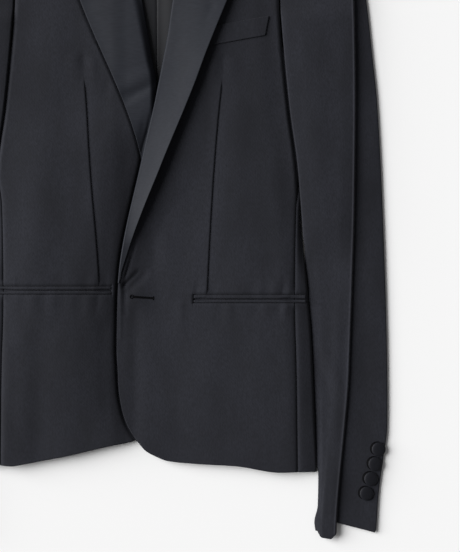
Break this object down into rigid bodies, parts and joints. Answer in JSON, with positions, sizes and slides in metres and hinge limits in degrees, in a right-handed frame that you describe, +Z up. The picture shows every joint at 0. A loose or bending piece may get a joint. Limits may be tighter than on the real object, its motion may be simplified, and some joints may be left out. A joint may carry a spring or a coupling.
{
  "type": "tuxedo jacket",
  "caption": "Tuxedo jacket laid flat and face up: slim cut, one-button front, satin peak lapels, jetted hip pockets, breast welt and sleeves with covered buttons.",
  "frame": {"origin": "middle of the laid jacket's bounding box, on the surface it lies on", "axes": "+X to the wearer's left, +Y from the hem to the collar, +Z up from the surface to the jacket's front"},
  "size_m": [0.5054, 0.7197, 0.015],
  "materials": {
    "worsted_wool": "matt black worsted wool",
    "satin": "black satin with a soft sheen",
    "button_cover": "black cloth drawn over a button"
  },
  "bodies": {
    "root": {"front_left": "worsted_wool", "front_right": "worsted_wool", "side_panel_left": "worsted_wool", "side_panel_right": "worsted_wool", "back_left": "worsted_wool", "back_right": "worsted_wool", "lapel_left": "satin", "lapel_right": "satin", "collar": "satin", "top_sleeve_left": "worsted_wool", "top_sleeve_right": "worsted_wool", "under_sleeve_left": "worsted_wool", "under_sleeve_right": "worsted_wool", "pocket_left_lower_jet": "worsted_wool", "pocket_left_upper_jet": "worsted_wool", "pocket_right_lower_jet": "worsted_wool", "pocket_right_upper_jet": "worsted_wool", "breast_welt": "worsted_wool", "sleeve_button_left_1": "button_cover", "sleeve_button_left_2": "button_cover", "sleeve_button_left_3": "button_cover", "sleeve_button_left_4": "button_cover", "sleeve_button_right_1": "button_cover", "sleeve_button_right_2": "button_cover", "sleeve_button_right_3": "button_cover", "sleeve_button_right_4": "button_cover", "front_button": "button_cover"}
  },
  "joints": []
}
